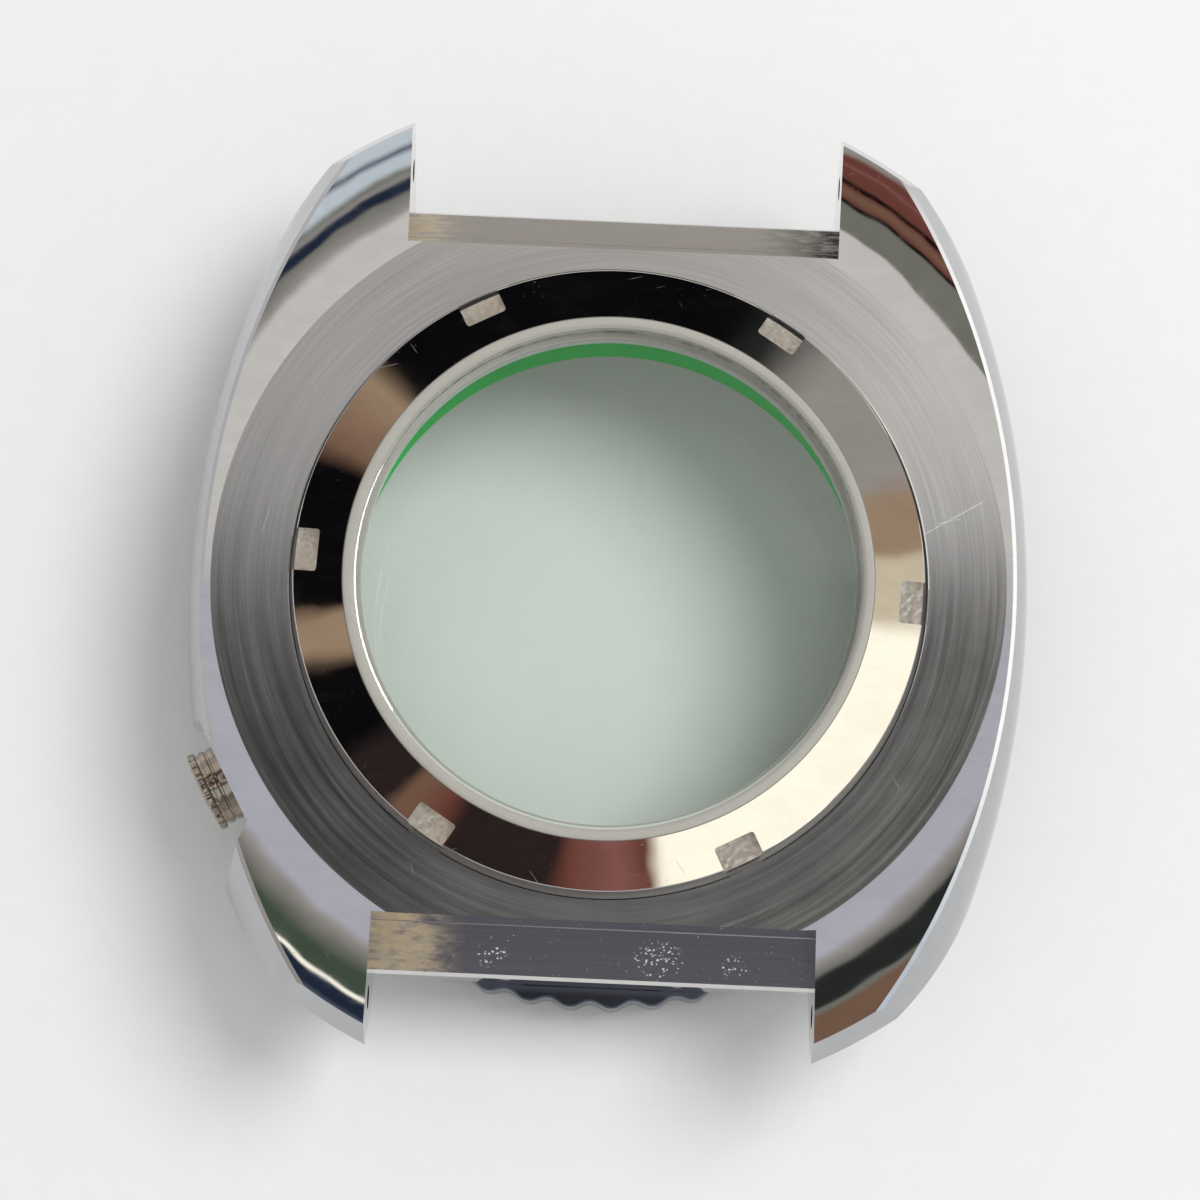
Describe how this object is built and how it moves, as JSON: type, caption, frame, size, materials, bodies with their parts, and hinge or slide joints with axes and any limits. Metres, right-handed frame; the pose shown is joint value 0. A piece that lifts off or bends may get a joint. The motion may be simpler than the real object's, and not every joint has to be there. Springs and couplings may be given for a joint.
{
  "type": "watch case",
  "caption": "Empty steel watch case with four lugs, rotating scalloped bezel, recessed crown, green chapter ring and screw-down display back.",
  "frame": {"origin": "on the case axis, in the plane of the bezel's front rim, which the case lies on", "axes": "+Z along the case axis towards the case back, +Y towards 12 o'clock, +X towards 9 o'clock; the crown is at 4 o'clock on the -X side"},
  "size_m": [0.0428, 0.0474, 0.0127],
  "materials": {
    "case_steel": "turned and brushed back, polished lugs",
    "front_glass": "clear",
    "nylon_white": "matte",
    "ring_green": "satin paint",
    "bezel_steel": "dark coated, polished",
    "insert_black": "satin anodised",
    "scale_white": "matte inlay",
    "luminous_dot": "luminous",
    "spring_steel": "drawn wire",
    "black_rubber": "matte",
    "ring_steel": "mirror polished",
    "back_glass": "clear",
    "gasket_cream": "translucent",
    "crown_steel": "turned and polished"
  },
  "bodies": {
    "case": {"case_middle": "case_steel", "crystal": "front_glass", "crystal_gasket": "nylon_white", "chapter_ring": "ring_green", "crown_tube": "spring_steel", "bezel_gasket": "black_rubber", "click_spring": "spring_steel"},
    "bezel": {"bezel": "bezel_steel", "bezel_insert": "insert_black", "bezel_scale": "scale_white", "bezel_pip": "luminous_dot", "bezel_retaining_wire": "spring_steel"},
    "back_seal": {"case_back_gasket": "black_rubber"},
    "back": {"case_back_ring": "ring_steel", "case_back_glass": "back_glass", "case_back_glass_gasket": "gasket_cream"},
    "crown_seal": {"crown_gasket": "black_rubber"},
    "crown": {"crown": "crown_steel", "crown_washer": "spring_steel", "crown_post": "crown_steel"}
  },
  "joints": [
    {"name": "bezel_turn", "type": "hinge", "parent": "case", "child": "bezel", "pos_m": [0, 0, 0.002], "axis": [0, 0, 1], "continuous": true},
    {"name": "back_lift", "type": "slide", "parent": "case", "child": "back_seal", "axis": [0, 0, 1], "range_m": [0, 0.0015]},
    {"name": "back_unscrew", "type": "hinge", "parent": "back_seal", "child": "back", "pos_m": [0, 0, 0.0104], "axis": [0, 0, 1], "range_deg": [0, 1080]},
    {"name": "crown_pull", "type": "slide", "parent": "case", "child": "crown_seal", "axis": [-0.8746, -0.4848, 0], "range_m": [0, 0.001]},
    {"name": "crown_turn", "type": "hinge", "parent": "crown_seal", "child": "crown", "pos_m": [-0.0188, -0.01042, 0.007], "axis": [-0.8746, -0.4848, 0], "continuous": true}
  ],
  "couplings": [
    {"joint": "back_lift", "follows": "back_unscrew", "m_per_rad": 0.000079577}
  ]
}
